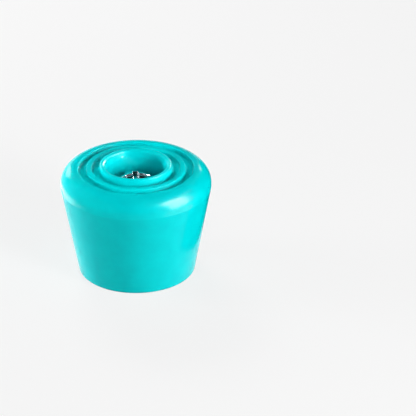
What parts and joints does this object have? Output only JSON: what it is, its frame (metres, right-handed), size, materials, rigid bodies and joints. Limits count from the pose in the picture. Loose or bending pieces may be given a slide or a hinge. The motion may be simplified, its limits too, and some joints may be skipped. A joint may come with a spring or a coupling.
{
  "type": "roller skate toe stop",
  "caption": "Tapered polyurethane toe stop with a round shoulder, ringed face and deep central recess, held to a quad skate plate by a pan head bolt with washers.",
  "frame": {"origin": "centre of the narrow mounting face, on the axis of the stop", "axes": "+Z along the axis from the mounting face to the ringed brake face; X and Y are free, because the stop is round"},
  "size_m": [0.051, 0.051, 0.0391],
  "materials": {
    "polyurethane": "glossy cast polyurethane, turquoise",
    "black_steel": "black phosphated steel",
    "spring_steel": "zinc plated spring steel",
    "bright_plate": "bright plated steel"
  },
  "bodies": {
    "stopper": {"stopper_body": "polyurethane", "seat_washer": "black_steel"},
    "washer": {"spring_washer": "spring_steel"},
    "bolt": {"mounting_bolt": "bright_plate"}
  },
  "joints": [
    {"name": "bolt_slide", "type": "slide", "parent": "stopper", "child": "washer", "axis": [0, 0, 1], "range_m": [-0.01145, 0.0415]},
    {"name": "bolt_turn", "type": "hinge", "parent": "washer", "child": "bolt", "pos_m": [0, 0, 0.028], "axis": [0, 0, 1], "continuous": true}
  ]
}
